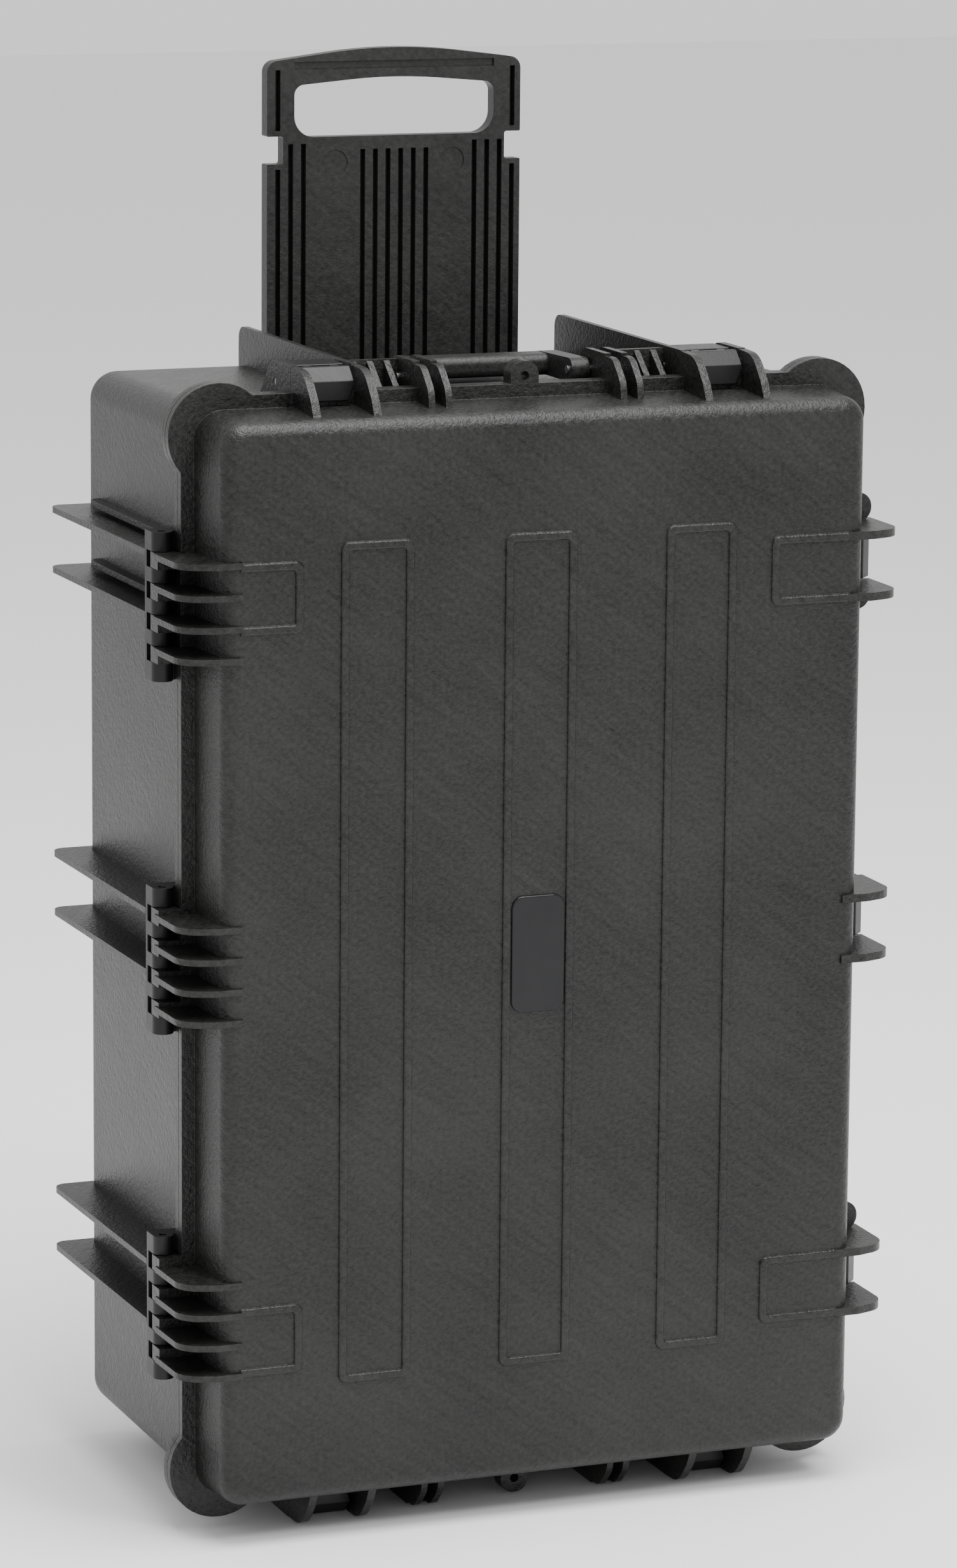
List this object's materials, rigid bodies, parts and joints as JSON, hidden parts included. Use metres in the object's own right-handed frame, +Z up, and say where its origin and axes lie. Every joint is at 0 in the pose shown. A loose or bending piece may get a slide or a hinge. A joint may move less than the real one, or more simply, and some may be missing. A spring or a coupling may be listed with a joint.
{
  "type": "rolling hard equipment case",
  "caption": "Upright hard plastic equipment case with a hinged lid, draw latches, carry handles, a ribbed trolley handle and wheels.",
  "frame": {"origin": "centre of the case's bounding box at floor level, with the case standing on end", "axes": "+Z up along the case's length, -Y out of the lid's front face, +X towards the long side with the latches"},
  "size_m": [0.564, 0.3442, 1.0656],
  "materials": {
    "shell": "fine moulded texture, satin",
    "hinge_plastic": "smooth satin",
    "latch_plastic": "smooth satin",
    "handle_plastic": "fine moulded texture",
    "board_plastic": "fine moulded texture",
    "badge_gloss": "clear domed gloss",
    "seal_rubber": "soft matt",
    "pin_steel": "drawn wire",
    "wheel_plastic": "satin",
    "tyre_rubber": "matt"
  },
  "bodies": {
    "base": {"base_shell": "shell", "base_ribs": "shell", "base_eyelets": "shell", "latch_pivot_pins": "pin_steel", "handle_pins_top": "pin_steel", "handle_pins_bottom": "pin_steel", "trolley_guide": "shell", "guide_screws": "pin_steel", "axle_left": "pin_steel", "axle_right": "pin_steel", "hinge_block_upper": "hinge_plastic", "hinge_block_middle": "hinge_plastic", "hinge_block_lower": "hinge_plastic", "hinge_pin_upper": "pin_steel", "hinge_pin_middle": "pin_steel", "hinge_pin_lower": "pin_steel"},
    "lid": {"lid_shell": "shell", "lid_ribs": "shell", "lid_eyelets": "shell", "lid_seal": "seal_rubber", "badge": "badge_gloss"},
    "trolley": {"trolley_board": "board_plastic"},
    "handle_top": {"carry_handle_top": "handle_plastic"},
    "handle_bottom": {"carry_handle_bottom": "handle_plastic"},
    "wheel_left": {"wheel_hub_left": "wheel_plastic", "wheel_tyre_left": "tyre_rubber"},
    "wheel_right": {"wheel_hub_right": "wheel_plastic", "wheel_tyre_right": "tyre_rubber"},
    "lever_top_left": {"latch_lever_top_left": "latch_plastic", "latch_claw_pin_top_left": "pin_steel"},
    "claw_top_left": {"latch_claw_top_left": "latch_plastic"},
    "lever_top_right": {"latch_lever_top_right": "latch_plastic", "latch_claw_pin_top_right": "pin_steel"},
    "claw_top_right": {"latch_claw_top_right": "latch_plastic"},
    "lever_bottom_left": {"latch_lever_bottom_left": "latch_plastic", "latch_claw_pin_bottom_left": "pin_steel"},
    "claw_bottom_left": {"latch_claw_bottom_left": "latch_plastic"},
    "lever_bottom_right": {"latch_lever_bottom_right": "latch_plastic", "latch_claw_pin_bottom_right": "pin_steel"},
    "claw_bottom_right": {"latch_claw_bottom_right": "latch_plastic"},
    "lever_side_upper": {"latch_lever_side_upper": "latch_plastic", "latch_claw_pin_side_upper": "pin_steel"},
    "claw_side_upper": {"latch_claw_side_upper": "latch_plastic"},
    "lever_side_middle": {"latch_lever_side_middle": "latch_plastic", "latch_claw_pin_side_middle": "pin_steel"},
    "claw_side_middle": {"latch_claw_side_middle": "latch_plastic"},
    "lever_side_lower": {"latch_lever_side_lower": "latch_plastic", "latch_claw_pin_side_lower": "pin_steel"},
    "claw_side_lower": {"latch_claw_side_lower": "latch_plastic"}
  },
  "joints": [
    {"name": "lid_hinge", "type": "hinge", "parent": "base", "child": "lid", "pos_m": [-0.273, -0.0999, 0.43], "axis": [0, 0, -1], "range_deg": [0, 95]},
    {"name": "lever_top_left", "type": "hinge", "parent": "base", "child": "lever_top_left", "pos_m": [-0.152, -0.0739, 0.845], "axis": [-1, 0, 0], "range_deg": [0, 95]},
    {"name": "claw_top_left", "type": "hinge", "parent": "lever_top_left", "child": "claw_top_left", "pos_m": [-0.152, -0.0979, 0.852], "axis": [-1, 0, 0], "range_deg": [0, 35]},
    {"name": "lever_top_right", "type": "hinge", "parent": "base", "child": "lever_top_right", "pos_m": [0.152, -0.0739, 0.845], "axis": [-1, 0, 0], "range_deg": [0, 95]},
    {"name": "claw_top_right", "type": "hinge", "parent": "lever_top_right", "child": "claw_top_right", "pos_m": [0.152, -0.0979, 0.852], "axis": [-1, 0, 0], "range_deg": [0, 35]},
    {"name": "lever_bottom_left", "type": "hinge", "parent": "base", "child": "lever_bottom_left", "pos_m": [-0.152, -0.0739, 0.015], "axis": [1, 0, 0], "range_deg": [0, 95]},
    {"name": "claw_bottom_left", "type": "hinge", "parent": "lever_bottom_left", "child": "claw_bottom_left", "pos_m": [-0.152, -0.0979, 0.008], "axis": [1, 0, 0], "range_deg": [0, 35]},
    {"name": "lever_bottom_right", "type": "hinge", "parent": "base", "child": "lever_bottom_right", "pos_m": [0.152, -0.0739, 0.015], "axis": [1, 0, 0], "range_deg": [0, 95]},
    {"name": "claw_bottom_right", "type": "hinge", "parent": "lever_bottom_right", "child": "claw_bottom_right", "pos_m": [0.152, -0.0979, 0.008], "axis": [1, 0, 0], "range_deg": [0, 35]},
    {"name": "lever_side_upper", "type": "hinge", "parent": "base", "child": "lever_side_upper", "pos_m": [0.267, -0.0739, 0.703], "axis": [0, 0, 1], "range_deg": [0, 95]},
    {"name": "claw_side_upper", "type": "hinge", "parent": "lever_side_upper", "child": "claw_side_upper", "pos_m": [0.274, -0.0979, 0.703], "axis": [0, 0, 1], "range_deg": [0, 35]},
    {"name": "lever_side_middle", "type": "hinge", "parent": "base", "child": "lever_side_middle", "pos_m": [0.267, -0.0739, 0.43], "axis": [0, 0, 1], "range_deg": [0, 95]},
    {"name": "claw_side_middle", "type": "hinge", "parent": "lever_side_middle", "child": "claw_side_middle", "pos_m": [0.274, -0.0979, 0.43], "axis": [0, 0, 1], "range_deg": [0, 35]},
    {"name": "lever_side_lower", "type": "hinge", "parent": "base", "child": "lever_side_lower", "pos_m": [0.267, -0.0739, 0.157], "axis": [0, 0, 1], "range_deg": [0, 95]},
    {"name": "claw_side_lower", "type": "hinge", "parent": "lever_side_lower", "child": "claw_side_lower", "pos_m": [0.274, -0.0979, 0.157], "axis": [0, 0, 1], "range_deg": [0, 35]},
    {"name": "handle_top", "type": "hinge", "parent": "base", "child": "handle_top", "pos_m": [0, -0.0749, 0.845], "axis": [1, 0, 0], "range_deg": [0, 95]},
    {"name": "handle_bottom", "type": "hinge", "parent": "base", "child": "handle_bottom", "pos_m": [0, -0.0749, 0.015], "axis": [-1, 0, 0], "range_deg": [0, 95]},
    {"name": "trolley_slide", "type": "slide", "parent": "base", "child": "trolley", "axis": [0, 0, 1], "range_m": [-0.228, 0]},
    {"name": "wheel_left", "type": "hinge", "parent": "base", "child": "wheel_left", "pos_m": [-0.15, 0.1165, 0.036], "axis": [1, 0, 0], "continuous": true},
    {"name": "wheel_right", "type": "hinge", "parent": "base", "child": "wheel_right", "pos_m": [0.15, 0.1165, 0.036], "axis": [1, 0, 0], "continuous": true}
  ]
}
